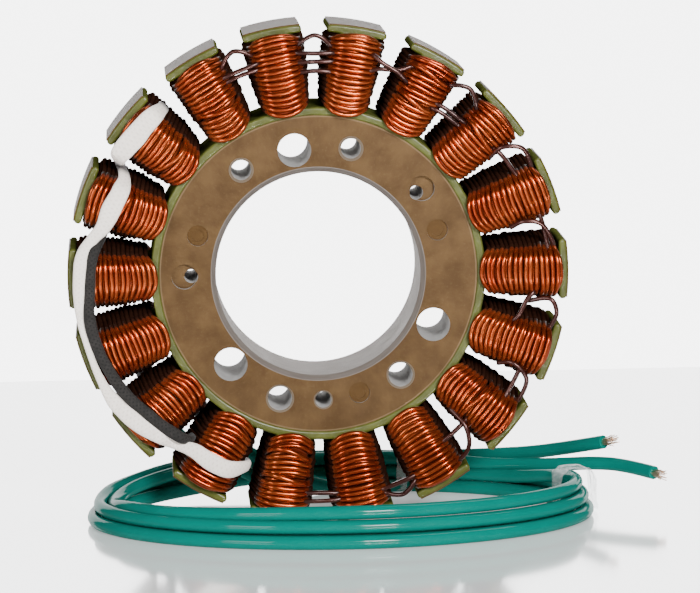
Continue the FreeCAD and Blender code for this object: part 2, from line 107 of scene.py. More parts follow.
SLANTS = (
    0.15, 0.0, 0.30, 0.45, 0.10, 0.0, 0.25, 0.40, 0.0, 0.20, 0.05, 0.30, 0.15, 0.50, 0.10, 0.0, 0.25, 0.10,
)
CROSSED_TURNS = {2: (9,), 3: (6, 12), 6: (5,), 7: (4, 11), 8: (8,), 12: (10,), 13: (3, 8), 16: (7,)}

# Wires that link the coils over a slot: link number, slot, half span in degrees, then the distance from the
# axis at the start, middle and end, and the middle's place along Y
LINK_END_Y = -0.0152
LINK_DEPTH = 0.0012
LINKS = (
    (1, 90, 6.0, 0.0532, 0.0530, 0.0534, -0.0179),
    (1, 90, 4.5, 0.0550, 0.0573, 0.0554, -0.0174),
    (2, 90, 6.0, 0.0512, 0.0510, 0.0510, -0.0177),
    (2, 90, 5.5, 0.0486, 0.0488, 0.0486, -0.0173),
    (3, 110, 6.0, 0.0526, 0.0524, 0.0522, -0.0178),
    (3, 110, 5.5, 0.0511, 0.0512, 0.0509, -0.0174),
    (3, 110, 4.5, 0.0550, 0.0572, 0.0548, -0.0176),
    (4, 70, 6.0, 0.0546, 0.0519, 0.0502, -0.0177),
    (4, 70, 6.0, 0.0508, 0.0524, 0.0542, -0.0189),
    (5, 50, 5.5, 0.0489, 0.0486, 0.0482, -0.0174),
    (5, 50, 5.5, 0.0503, 0.0500, 0.0496, -0.0177),
    (5, 50, 5.0, 0.0548, 0.0572, 0.0552, -0.0178),
    (6, 30, 5.5, 0.0530, 0.0524, 0.0516, -0.0172),
    (7, 10, 5.5, 0.0552, 0.0550, 0.0546, -0.0170),
    (8, 350, 5.0, 0.0480, 0.0496, 0.0516, -0.0175),
    (9, 330, 5.5, 0.0536, 0.0534, 0.0532, -0.0171),
    (10, 310, 5.5, 0.0502, 0.0500, 0.0498, -0.0171),
    (11, 290, 5.5, 0.0540, 0.0538, 0.0536, -0.0176),
    (11, 290, 4.5, 0.0552, 0.0568, 0.0550, -0.0173),
    (12, 270, 5.5, 0.0548, 0.0546, 0.0544, -0.0172),
    (12, 270, 4.5, 0.0528, 0.0527, 0.0529, -0.0169),
)
# Arches of the same wires over the shoulder of a coil, out to its tip: link number, slot, then four places,
# each as degrees past the slot's middle and distance from the axis. Then Y at the four places, and how far the
# sunk end lies past the last of them, in degrees and distance, with its Y
ARCHES = (
    (6, 30, (3.4, 0.0494), (4.0, 0.0532), (1.0, 0.0572), (-3.6, 0.0570)),
    (7, 10, (2.6, 0.0472), (3.6, 0.0506), (1.8, 0.0546), (-3.4, 0.0566)),
    (8, 350, (1.6, 0.0506), (3.0, 0.0556), (-0.2, 0.0577), (-4.0, 0.0569)),
    (9, 330, (2.4, 0.0480), (4.4, 0.0512), (2.2, 0.0558), (-3.0, 0.0568)),
    (10, 310, (3.2, 0.0450), (3.0, 0.0506), (0.2, 0.0548), (-3.6, 0.0562)),
)
ARCH_LEVELS = (-0.0150, -0.0168, -0.0168, -0.0156)
ARCH_END = (-0.8, -0.0006, -0.0146)

# Sleeves over the front of the coils, in rows of angle, distance inside the tips' outer face, width, and how
# deep the row is sunk in a slot
SLEEVE_Y = -0.0183
SLEEVE_HALF_THICKNESS = 0.00075
SLEEVE_LEG_DEPTH = 0.0075
SLEEVE_SIDES = 20
# Distances from the middle of the stack at which the sleeves' painted shade begins and is full
SLEEVE_DARK_FROM = 0.0146
SLEEVE_DARK_TO = 0.0122
WHITE_SLEEVE = (
    (132.0, 0.0056, 0.0036, 0.0030), (134.2, 0.0052, 0.0044, 0.0008), (137.5, 0.0050, 0.0050, 0.0),
    (141.5, 0.0050, 0.0054, 0.0), (145.5, 0.0046, 0.0052, 0.0002), (148.3, 0.0046, 0.0042, 0.0018),
    (150.2, 0.0062, 0.0024, 0.0085), (152.3, 0.0082, 0.0030, 0.0036), (155.5, 0.0086, 0.0044, 0.0003),
    (160.5, 0.0081, 0.0048, 0.0), (166.0, 0.0073, 0.0036, 0.0002), (170.0, 0.0052, 0.0028, 0.0010),
    (174.0, 0.0034, 0.0032, 0.0002), (180.0, 0.0029, 0.0032, 0.0), (186.0, 0.0024, 0.0024, 0.0002),
    (191.0, 0.0021, 0.0017, 0.0010), (196.0, 0.0023, 0.0017, 0.0004), (202.0, 0.0023, 0.0018, 0.0),
    (208.0, 0.0024, 0.0028, 0.0002), (213.0, 0.0030, 0.0038, 0.0), (219.0, 0.0044, 0.0040, 0.0),
    (224.5, 0.0058, 0.0034, 0.0003), (229.0, 0.0068, 0.0024, 0.0020), (233.5, 0.0085, 0.0036, 0.0003),
    (238.5, 0.0084, 0.0042, 0.0), (244.0, 0.0087, 0.0042, 0.0), (248.5, 0.0106, 0.0034, 0.0010),
)
BLACK_SLEEVE = (
    (168.5, 0.0076, 0.0026, 0.0020), (172.5, 0.0062, 0.0026, 0.0003), (177.0, 0.0056, 0.0026, 0.0),
    (183.0, 0.0052, 0.0027, 0.0), (189.0, 0.0044, 0.0028, 0.0001), (196.0, 0.0044, 0.0028, 0.0),
    (203.0, 0.0050, 0.0027, 0.0), (210.0, 0.0058, 0.0030, 0.0001), (216.0, 0.0070, 0.0028, 0.0),
    (223.0, 0.0082, 0.0028, -0.0002), (229.0, 0.0092, 0.0028, 0.0), (231.5, 0.0100, 0.0024, 0.0012),
)

# Leads: where each leaves its sleeve, its drop, its turns in the coil on the surface, and its free end
CABLE_DIAMETER = 0.0033
EXIT_1 = (-0.03820, 0.01975, -0.03702)
EXIT_2 = (-0.02656, 0.01942, -0.03938)
DROP_1 = (
    (-0.0346, 0.0220, -0.0430), (-0.0286, 0.0232, -0.0474), (-0.0216, 0.0235, -0.0510),
    (-0.0144, 0.0236, -0.0548), (-0.0068, 0.0250, -0.0576), (0.0012, 0.0278, -0.0582),
    (0.0090, 0.0316, -0.0582),
)
DROP_2 = (
    (-0.0224, 0.0216, -0.0444), (-0.0160, 0.0228, -0.0486), (-0.0088, 0.0233, -0.0526),
    (-0.0010, 0.0240, -0.0562), (0.0070, 0.0258, -0.0581), (0.0146, 0.0283, -0.0582),
    (0.0226, 0.0304, -0.0582),
)
END_1 = (
    (0.0240, 0.0328, -0.0516), (0.0332, 0.0306, -0.0513), (0.0426, 0.0274, -0.0507),
    (0.0526, 0.0228, -0.0498), (0.0620, 0.0166, -0.0478), (0.0700, 0.0086, -0.0454),
)
END_2 = (
    (0.0420, 0.0224, -0.0524), (0.0506, 0.0194, -0.0522), (0.0590, 0.0154, -0.0518),
    (0.0670, 0.0106, -0.0508), (0.0744, 0.0048, -0.0505), (0.0810, -0.0046, -0.0513),
)
RING_CENTRE = (0.005, -0.010)
RING_HALF_LENGTH = 0.0572
RING_HALF_DEPTH = 0.0443
RING_STEP_DEG = 15.0
RING_INSET = 1.006
# Places in the coil of leads: angle round it, how far out from its middle line, height of the cable's centre
TURNS_1 = (
    (72.0, 0.0018, 0.00165), (0.0, 0.0020, 0.00165), (-90.0, 0.0019, 0.00165),
    (-180.0, 0.0028, 0.00165), (-205.0, 0.0024, 0.0026), (-232.0, 0.0017, 0.00495),
    (-270.0, 0.0017, 0.00495), (-360.0, 0.0008, 0.0049), (-450.0, 0.0005, 0.0051),
    (-540.0, 0.0012, 0.0046), (-565.0, 0.00145, 0.0063), (-590.0, 0.0017, 0.00835),
    (-632.0, 0.0017, 0.00835),
)
TURNS_2 = (
    (57.0, -0.0017, 0.00165), (0.0, -0.00135, 0.00165), (-90.0, -0.00145, 0.00165),
    (-180.0, -0.00055, 0.00165), (-205.0, -0.0009, 0.0019), (-230.0, -0.0014, 0.0030),
    (-258.0, -0.0017, 0.00495), (-318.0, -0.0016, 0.0050), (-352.0, -0.0007, 0.0081),
    (-450.0, 0.0, 0.0084), (-520.0, -0.0012, 0.0064), (-540.0, -0.0024, 0.0045),
    (-565.0, -0.0021, 0.0060), (-595.0, -0.0017, 0.00835), (-655.0, -0.0016, 0.00835),
)

# Bare strands at the cut ends
STRANDS = 19
STRAND_DIAMETER = 0.00026
STRAND_LENGTH = 0.0046
STRAND_SPLAY = 0.0007

# Heat-shrink sleeves at the back: distance from the axis and angle of both ends, and their Y
SHRINK_RADIUS = 0.0023
SHRINK_STEPS = 32
SHRINKS = (
    ("exit_sleeve_1", (0.0490, 207.0), (0.0532, 224.1), 0.01975),
    ("exit_sleeve_2", (0.0440, 217.0), (0.0475, 236.0), 0.01942),
)

# Clear film ties: angle round the coil of leads, width, crumple
TIES = (("tie_right", 8.0, 0.0100, 0.0009), ("tie_rear", 72.0, 0.0026, 0.0003))
TIE_HALF_WIDTH = 0.0043
TIE_HEIGHT = 0.0102
TIE_ROUNDING = 0.0030
TIE_FOOT = 0.0005
TIE_COLUMNS = 25
CRUMPLE_COARSE = 420.0
CRUMPLE_FINE = 1300.0
CRUMPLE_SEED = 5
TIE_THICKNESS = 0.00006

# Camera, as the photograph was taken
IMAGE_WIDTH = 700.0
CAMERA_PLACE = (-0.044995, -1.26723, 0.141534)
CAMERA_YAW = 2.39742
CAMERA_PITCH = 6.69027
CAMERA_ROLL = -0.92185
CAMERA_FOCAL_PIXELS = 5276.67
CAMERA_SENSOR_MM = 36.0

# Stage and lights; a light's name, place, size and watts
TABLE_FAR_EDGE = 0.254
TABLE_HALF_WIDTH = 2.0
TABLE_NEAR_EDGE = -3.0
BACKDROP_Y = 2.2
BACKDROP_HALF_WIDTH = 1.6
BACKDROP_TOP = 1.2
BACKDROP_BOTTOM = -0.6
BACKDROP_GLOW = 5.6
TABLE_GLOW = 0.35
SURROUND_STRENGTH = 0.16
LIGHTS = (
    ("key", (0.30, -1.25, 0.42), 0.26, 27.0),
    ("top", (0.35, 0.25, 0.9), 0.5, 4.2),
    ("fill", (-0.7, -1.0, 0.25), 0.4, 7.0),
)

# Colours, most as a pair or more of tones that mix
VARNISH = ((0.062, 0.031, 0.0088), (0.090, 0.048, 0.0148))
VARNISH_SPECK = (0.115, 0.066, 0.024)
# A painted highlight: a lighter line on the brown face along the coat's edge.
COAT_EDGE_HIGHLIGHT = (0.18, 0.12, 0.06)
# Chamfer tone: lighter, partly bare metal and partly painted highlight.
CHAMFER_METAL_AND_HIGHLIGHT = (0.20, 0.155, 0.11)
MACHINED = ((0.13, 0.108, 0.092), (0.22, 0.190, 0.168))
BARE_STEEL = ((0.10, 0.082, 0.068), (0.18, 0.15, 0.13))
HOLE_WALL = ((0.42, 0.41, 0.40), (0.64, 0.63, 0.62))
RIVET = ((0.054, 0.026, 0.007), (0.084, 0.044, 0.013))
EPOXY = ((0.050, 0.055, 0.006), (0.094, 0.104, 0.016))
EPOXY_SPECK = (0.16, 0.175, 0.06)
EPOXY_WALL = ((0.036, 0.040, 0.006), (0.110, 0.124, 0.030))
# The last tone of COPPER is painted shade for the wire down in the slots.
COPPER = ((0.29, 0.036, 0.008), (0.44, 0.094, 0.022), (0.17, 0.017, 0.004), (0.020, 0.007, 0.004))
# The link wires' tones: copper darkened to near black as painted shade; the last tone is the painted shade
# down in the slots.
SHADED_LINK_WIRE = ((0.028, 0.007, 0.005), (0.060, 0.013, 0.007), (0.02, 0.006, 0.005), (0.025, 0.009, 0.006))
# Near-black painted shade for the wire's sides down in the slots.
SLOT_WIRE_SHADE = ((0.010, 0.004, 0.003), (0.050, 0.018, 0.010))
# The last tone of each braid is painted shade for where the sleeve sinks into a slot.
WHITE_BRAID = ((1.0, 0.915, 0.83), (0.95, 0.86, 0.77), (0.86, 0.77, 0.68), (0.030, 0.014, 0.010))
BLACK_BRAID = ((0.022, 0.0195, 0.018), (0.012, 0.011, 0.010), (0.008, 0.0075, 0.007), (0.010, 0.008, 0.007))
HEAT_SHRINK = (0.013, 0.013, 0.014)
CABLE = ((0.0, 0.118, 0.092), (0.0, 0.155, 0.122))
STRAND = ((0.84, 0.52, 0.32), (0.92, 0.82, 0.70))
FILM = (0.95, 0.96, 0.97)
TABLE = (0.86, 0.865, 0.87)
BACKDROP = (0.9, 0.9, 0.9)
SURROUND = (0.92, 0.94, 1.0)
WHITE_GLOW = (1.0, 1.0, 1.0, 1.0)

# Textures: thickness of one sheet of the stack, the braid's yarns per metre, a wall's largest slope
SHEET = 0.0005
YARN = 5600.0
UV_PER_COLUMN = 0.00045
WALL_SLOPE = 0.2


def polar(distance, degrees, y=0.0):
    """The point at a distance from the bore axis and an angle round it."""
    turn = math.radians(degrees)
    return Vector((distance * math.cos(turn), y, distance * math.sin(turn)))


def mix(a, b, share):
    """The value or point between a and b."""
    return a + (b - a) * share


def smooth_line(points, steps):
    """A smooth line through the points, with some steps from each to the next."""
    spots = [Vector(point) for point in points]
    spots = [spots[0] * 2 - spots[1]] + spots + [spots[-1] * 2 - spots[-2]]
    line = []
    for i in range(1, len(spots) - 2):
        a, b, c, d = spots[i - 1:i + 3]
        for step in range(steps):
            t = step / steps
            bend = (a * 2 - b * 5 + c * 4 - d) * t ** 2
            twist = (b * 3 - a - c * 3 + d) * t ** 3
            line.append((b * 2 + (c - a) * t + bend + twist) * 0.5)
    line.append(spots[-2])
    return line


class Shape:
    """Vertices and faces that become one mesh."""

    def __init__(self):
        self.verts = []
        self.faces = []

    def ring_strip(self, first, rings, sides):
        """Faces between rings of vertices that start at one place in the list, with a cap at both ends."""
        for i in range(rings - 1):
            for k in range(sides):
                a = first + i * sides + k
                b = first + i * sides + (k + 1) % sides
                self.faces.append((a, b, b + sides, a + sides))
        last = first + (rings - 1) * sides
        self.faces.append(tuple(reversed(range(first, first + sides))))
        self.faces.append(tuple(range(last, last + sides)))

    def tube(self, points, radius, sides):
        """A round tube along points; the radius is one value, or one for each point."""
        first = len(self.verts)
        normal = None
        for i, point in enumerate(points):
            tangent = (points[min(i + 1, len(points) - 1)] - points[max(i - 1, 0)]).normalized()
            if normal is None:
                normal = tangent.orthogonal()
            normal = (normal - tangent * normal.dot(tangent)).normalized()
            across = tangent.cross(normal)
            size = radius[i] if isinstance(radius, list) else radius
            for k in range(sides):
                turn = 2.0 * math.pi * k / sides
                self.verts.append(point + normal * (size * math.cos(turn)) + across * (size * math.sin(turn)))
        self.ring_strip(first, len(points), sides)

    def mesh(self, name):
        """The mesh, smooth shaded."""
        mesh = bpy.data.meshes.new(name)
        mesh.from_pydata([tuple(v) for v in self.verts], [], self.faces)
        mesh.shade_smooth()
        return mesh


def add_piece(name, data, material, nodes):
    """Puts a mesh or curve in the scene as a piece that stands for CAD nodes."""
    piece = bpy.data.objects.new(name, data)
    bpy.context.scene.collection.objects.link(piece)
    data.materials.append(material)
    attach(piece, "root")
    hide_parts(*nodes)
    return piece


def second_material(mesh, material, wanted):
    """Gives the polygons of a mesh that are wanted a second material."""
    mesh.materials.append(material)
    for polygon in mesh.polygons:
        if wanted(polygon):
            polygon.material_index = 1


class Finish:
    """A material and short calls for its nodes."""

    def __init__(self, name, colour=(0.8, 0.8, 0.8), roughness=0.5, metallic=0.0, **sockets):
        self.material = bpy.data.materials.new(name)
        self.material.use_nodes = True
        self.nodes = self.material.node_tree.nodes
        self.links = self.material.node_tree.links
        self.shader = self.nodes["Principled BSDF"]
        self.shader.inputs["Base Color"].default_value = (*colour, 1.0)
        self.shader.inputs["Roughness"].default_value = roughness
        self.shader.inputs["Metallic"].default_value = metallic
        for socket, value in sockets.items():
            self.shader.inputs[socket.replace("_", " ")].default_value = value

    def node(self, kind, **values):
        """A new node, with its properties set."""
        made = self.nodes.new(kind)
        for name, value in values.items():
            setattr(made, name, value)
        return made

    def place(self, output="Object"):
        """The place on the object, in metres."""
        return self.node("ShaderNodeTexCoord").outputs[output]

    def stretched(self, scale):
        """The place on the object, stretched along its axes."""
        mapping = self.node("ShaderNodeMapping")
        mapping.inputs["Scale"].default_value = scale
        self.links.new(self.place(), mapping.inputs["Vector"])
        return mapping.outputs["Vector"]

    def noise(self, scale, detail=3.0, roughness=0.5, place=None):
        """Noise over the surface, from 0 to 1."""
        made = self.node("ShaderNodeTexNoise")
        made.inputs["Scale"].default_value = scale
        made.inputs["Detail"].default_value = detail
        made.inputs["Roughness"].default_value = roughness
        self.links.new(place or self.place(), made.inputs["Vector"])
        return made.outputs["Fac"]

    def calc(self, operation, a, b=0.0, c=0.0):
        """One sum on values or outputs."""
        made = self.node("ShaderNodeMath", operation=operation)
        for socket, value in zip(made.inputs, (a, b, c)):
            if isinstance(value, (int, float)):
                socket.default_value = value
            else:
                self.links.new(value, socket)
        return made.outputs[0]

    def ramp(self, source, low, high):
        """0 below low, 1 above high, straight between."""
        made = self.node("ShaderNodeMapRange")
        made.inputs["From Min"].default_value = low
        made.inputs["From Max"].default_value = high
        self.links.new(source, made.inputs["Value"])
        return made.outputs["Result"]

    def blend(self, share, a, b):
        """A colour between two colours or outputs."""
        made = self.node("ShaderNodeMix", data_type="RGBA")
        self.links.new(share, made.inputs["Factor"])
        for socket, value in ((made.inputs[6], a), (made.inputs[7], b)):
            if isinstance(value, tuple):
                socket.default_value = (*value, 1.0)
            else:
                self.links.new(value, socket)
        return made.outputs[2]

    def separate(self, source):
        """The X, Y and Z of a place or direction."""
        made = self.node("ShaderNodeSeparateXYZ")
        self.links.new(source, made.inputs[0])
        return made.outputs

    def depth(self):
        """Distance from the middle of the stack, forwards or backwards."""
        return self.calc("ABSOLUTE", self.separate(self.place())[1])

    def sheets(self, y):
        """From 0 to 1 across each sheet of the stack and back."""
        return self.calc("MULTIPLY", self.calc("PINGPONG", y, SHEET / 2.0), 2.0 / SHEET)

    def colour(self, output):
        """Sets the base colour."""
        self.links.new(output, self.shader.inputs["Base Color"])

    def drive(self, socket, output):
        """Sets another socket of the shader from an output."""
        self.links.new(output, self.shader.inputs[socket])

    def bump(self, height, distance, strength=1.0):
        """Raises the surface by a height from 0 to 1 times a distance; calls add up."""
        made = self.node("ShaderNodeBump")
        made.inputs["Strength"].default_value = strength
        made.inputs["Distance"].default_value = distance
        self.links.new(height, made.inputs["Height"])
        earlier = self.shader.inputs["Normal"].links
        if earlier:
            self.links.new(earlier[0].from_socket, made.inputs["Normal"])
        self.links.new(made.outputs["Normal"], self.shader.inputs["Normal"])


def steel_finish():
    """Brown varnished faces, a machined grey bore and bare steel outside, with the edges of the sheets, a
    painted highlight along the coat's edge, and a lighter tone on the chamfers, partly bare metal and partly
    painted highlight.
    """
    finish = Finish("stack_steel", Specular_IOR_Level=0.2)
    x, y, z = finish.separate(finish.place())
    squares = finish.calc("ADD", finish.calc("MULTIPLY", x, x), finish.calc("MULTIPLY", z, z))
    distance = finish.calc("SQRT", squares)
    facing = finish.calc("ABSOLUTE", finish.separate(finish.place("Normal"))[1])
    side = finish.ramp(facing, 0.75, 0.35)
    in_bore = finish.ramp(distance, BORE_EDGE + 0.0001, BORE_EDGE)
    outside = finish.ramp(distance, 0.0585, 0.0588)
    blotch = finish.noise(190.0, 5.0, 0.62)
    speck = finish.noise(1500.0, 3.0, 0.6)
    face = finish.blend(finish.ramp(blotch, 0.36, 0.66), *VARNISH)
    specks = finish.calc("MULTIPLY", finish.ramp(speck, 0.55, 0.75), 0.45)
    face = finish.blend(specks, face, VARNISH_SPECK)
    # Painted highlight: a lighter line all round, along the edge of the coat.
    from_line = finish.calc("ABSOLUTE", finish.calc("SUBTRACT", distance, COAT_INNER_RADIUS - 0.0002))
    face = finish.blend(finish.calc("MULTIPLY", finish.ramp(from_line, 0.00022, 0.0001), 0.6), face,
                        COAT_EDGE_HIGHLIGHT)
    # The chamfers get a lighter tone all round: partly bare metal, partly painted highlight.
    face = finish.blend(finish.ramp(facing, 0.85, 0.75), face, CHAMFER_METAL_AND_HIGHLIGHT)
    grooves = finish.noise(900.0, 2.0, 0.5, finish.stretched((0.2, 3.0, 0.2)))
    colour = finish.blend(in_bore, face, finish.blend(grooves, *MACHINED))
    bare = finish.blend(blotch, *BARE_STEEL)
    finish.colour(finish.blend(finish.calc("MULTIPLY", outside, side), colour, bare))
    dull = finish.calc("ADD", finish.calc("MULTIPLY", blotch, 0.30), 0.26)
    duller = finish.calc("MULTIPLY", finish.calc("MAXIMUM", outside, in_bore), 0.25)
    finish.drive("Roughness", finish.calc("ADD", dull, duller))
    finish.drive("Metallic", finish.calc("MULTIPLY_ADD", in_bore, 0.2, 0.3))
    finish.bump(finish.calc("MULTIPLY", finish.sheets(y), side), 0.00004, 0.6)
    finish.bump(finish.calc("ADD", blotch, finish.calc("MULTIPLY", speck, 0.3)), 0.00010, 0.5)
    return finish.material


def hole_finish():
    """The dull punched walls of the holes, with the edges of the sheets."""
    finish = Finish("hole_steel", roughness=0.6, Specular_IOR_Level=0.0)
    y = finish.separate(finish.place())[1]
    finish.colour(finish.blend(finish.noise(700.0), *HOLE_WALL))
    finish.bump(finish.sheets(y), 0.00006, 0.7)
    return finish.material


def rivet_finish():
    """Brown varnished rivet heads, a little uneven."""
    finish = Finish("rivet_steel", roughness=0.4, metallic=0.3, Specular_IOR_Level=0.12)
    blotch = finish.noise(700.0, 4.0, 0.6)
    finish.colour(finish.blend(blotch, *RIVET))
    finish.bump(blotch, 0.00012, 0.6)
    return finish.material


def epoxy_finish():
    """Olive green dipped epoxy: uneven, a little waxy, darker where it is thin."""
    finish = Finish("epoxy_green", Specular_IOR_Level=0.28, Coat_Weight=0.15, Coat_Roughness=0.2)
    pool = finish.noise(260.0, 4.0, 0.55)
    fine = finish.noise(1400.0, 3.0, 0.6)
    green = finish.blend(finish.ramp(pool, 0.32, 0.70), *EPOXY)
    speck = finish.calc("MULTIPLY", finish.ramp(fine, 0.58, 0.80), 0.35)
    finish.colour(finish.blend(speck, green, EPOXY_SPECK))
    finish.drive("Roughness", finish.calc("ADD", finish.calc("MULTIPLY", fine, 0.25), 0.22))
    finish.bump(pool, 0.00045, 0.7)
    finish.bump(fine, 0.00010, 0.4)
    return finish.material


def epoxy_side_finish():
    """The same epoxy down the walls of the slots and on the ends of the tips: dull and darker."""
    finish = Finish("epoxy_side", roughness=0.7, Specular_IOR_Level=0.0)
    finish.colour(finish.blend(finish.noise(260.0), *EPOXY_WALL))
    return finish.material


def copper_finish(name, tones, metallic):
    """Enamelled wire: bright metal under glossy enamel, with painted shade down in the slots, where the tone
    turns dark, dull and less metallic.
    """
    low, high, dull, painted_slot_shade = tones
    finish = Finish(name)
    patch = finish.noise(150.0, 3.0, 0.5)
    streak = finish.noise(700.0, 2.0, 0.5)
    base = finish.blend(finish.ramp(patch, 0.30, 0.72), low, high)
    base = finish.blend(finish.calc("MULTIPLY", streak, 0.4), base, dull)
    # Painted shade: where the wire goes down into a slot, the colour turns to the dark last tone.
    sunk = finish.ramp(finish.depth(), HALF_STACK + SLOT_DARK_TO, HALF_STACK + SLOT_DARK_FROM)
    finish.colour(finish.blend(sunk, base, painted_slot_shade))
    finish.drive("Metallic", finish.calc("MULTIPLY_ADD", sunk, -metallic, metallic))
    glossy = finish.calc("ADD", finish.calc("MULTIPLY", streak, 0.10), 0.18)
    finish.drive("Roughness", finish.calc("ADD", glossy, finish.calc("MULTIPLY", sunk, 0.3)))
    return finish.material


def slot_shade_finish():
    """The wire's sides down in the slots, near black: painted shade."""
    finish = Finish("slot_wire_shade", roughness=0.7, Specular_IOR_Level=0.0)
    finish.colour(finish.blend(finish.noise(500.0), *SLOT_WIRE_SHADE))
    return finish.material


def braid_finish(name, tones, relief, sheen):
    """Braided glass-fibre sleeving: two sets of crossing yarns, with painted shade where it sinks into a slot.
    """
    light, dark, gap, sunk_shade = tones
    finish = Finish(name, roughness=0.75, Sheen_Weight=sheen, Sheen_Roughness=0.5, Specular_IOR_Level=0.2)
    along, round_it, _ = finish.separate(finish.place("UV"))
    one = finish.calc("SINE", finish.calc("MULTIPLY", finish.calc("ADD", along, round_it), YARN))
    two = finish.calc("SINE", finish.calc("MULTIPLY", finish.calc("SUBTRACT", along, round_it), YARN))
    yarn = finish.calc("MULTIPLY", finish.calc("ADD", finish.calc("MAXIMUM", one, two), 1.0), 0.5)
    soil = finish.noise(420.0, 4.0, 0.6)
    cloth = finish.blend(finish.ramp(soil, 0.35, 0.75), light, dark)
    cloth = finish.blend(finish.ramp(yarn, 0.55, 0.2), cloth, gap)
    # Painted shade: the cloth turns to the dark last tone where the sleeve sinks into a slot.
    finish.colour(finish.blend(finish.ramp(finish.depth(), SLEEVE_DARK_FROM, SLEEVE_DARK_TO), cloth, sunk_shade))
    finish.bump(yarn, 0.00016, relief)
    finish.bump(soil, 0.00025, 0.5)
    return finish.material


def shrink_finish():
    """Black heat-shrink tube, satin with faint wrinkles."""
    finish = Finish("heat_shrink", colour=HEAT_SHRINK, roughness=0.38)
    finish.bump(finish.noise(900.0, 4.0, 0.6), 0.00015, 0.6)
    return finish.material


def cable_finish():
    """Teal green cable insulation, smooth and half glossy."""
    finish = Finish("green_insulation", Specular_IOR_Level=0.0, Coat_Weight=0.22, Coat_Roughness=0.1)
    finish.colour(finish.blend(finish.noise(60.0, 3.0, 0.5), *CABLE))
    finish.bump(finish.noise(160.0, 2.0, 0.5), 0.00006, 0.4)
    return finish.material


def strand_finish():
    """Bare copper strands, partly tinned."""
    finish = Finish("bare_strands", roughness=0.3, metallic=1.0)
    finish.colour(finish.blend(finish.noise(700.0), *STRAND))
    return finish.material


def film_finish():
    """Thin clear film, wrinkled and shiny."""
    finish = Finish("clear_film", colour=FILM, roughness=0.12, Specular_IOR_Level=0.8, Alpha=0.14)
    finish.bump(finish.noise(420.0, 4.0, 0.6), 0.0006, 0.8)
    return finish.material


def coat_outline():
    """The coat's outer outline seen from the front: slot floors, teeth and tips, with rounded corners."""
    outline = []

    def rounded(corner, before, after, radius, steps=4):
        """Points of a fillet at a corner between the directions to its two neighbours."""
        turn = before.angle(after)
        trim = radius / math.tan(turn / 2.0)
        start = corner + before * trim
        stop = corner + after * trim
        centre = corner + (before + after).normalized() * (radius / math.sin(turn / 2.0))
        for step in range(steps + 1):
            spot = mix(start, stop, step / steps)
            outline.append(centre + (spot - centre).normalized() * radius)

    for i in range(TOOTH_COUNT):
        angle = i * 360.0 / TOOTH_COUNT
        out = polar(1.0, angle)
        side = polar(1.0, angle + 90.0)
        root_x = math.sqrt(COAT_ROOT_RADIUS ** 2 - TOOTH_HALF_WIDTH ** 2)
        edge_x = math.sqrt(COAT_OUTER_RADIUS ** 2 - TIP_HALF_WIDTH ** 2)
        rounded(out * root_x - side * TOOTH_HALF_WIDTH, -side, out, SLOT_FILLET)
        rounded(out * TIP_INNER - side * TOOTH_HALF_WIDTH, -out, -side, SLOT_FILLET)
        rounded(out * TIP_INNER - side * TIP_HALF_WIDTH, side, out, TIP_FILLET)
        rounded(out * edge_x - side * TIP_HALF_WIDTH, -out, side, TIP_FILLET)
        half_tip = math.degrees(math.asin((TIP_HALF_WIDTH - 1.3 * TIP_FILLET) / COAT_OUTER_RADIUS))
        for step in range(9):
            outline.append(polar(COAT_OUTER_RADIUS, angle + half_tip * (step / 4.0 - 1.0)))
        rounded(out * edge_x + side * TIP_HALF_WIDTH, -side, -out, TIP_FILLET)
        rounded(out * TIP_INNER + side * TIP_HALF_WIDTH, out, -side, TIP_FILLET)
        rounded(out * TIP_INNER + side * TOOTH_HALF_WIDTH, side, -out, SLOT_FILLET)
        rounded(out * root_x + side * TOOTH_HALF_WIDTH, out, side, SLOT_FILLET)
        for step in range(1, 4):
            outline.append(polar(COAT_ROOT_RADIUS, angle + 7.0 + step * 1.5))
    return outline


def loop_normals(loop):
    """The outward direction at each point of a loop that runs anticlockwise seen from the front."""
    normals = []
    for i in range(len(loop)):
        along = loop[(i + 1) % len(loop)] - loop[i - 1]
        normals.append(Vector((along.z, 0.0, -along.x)).normalized())
    return normals


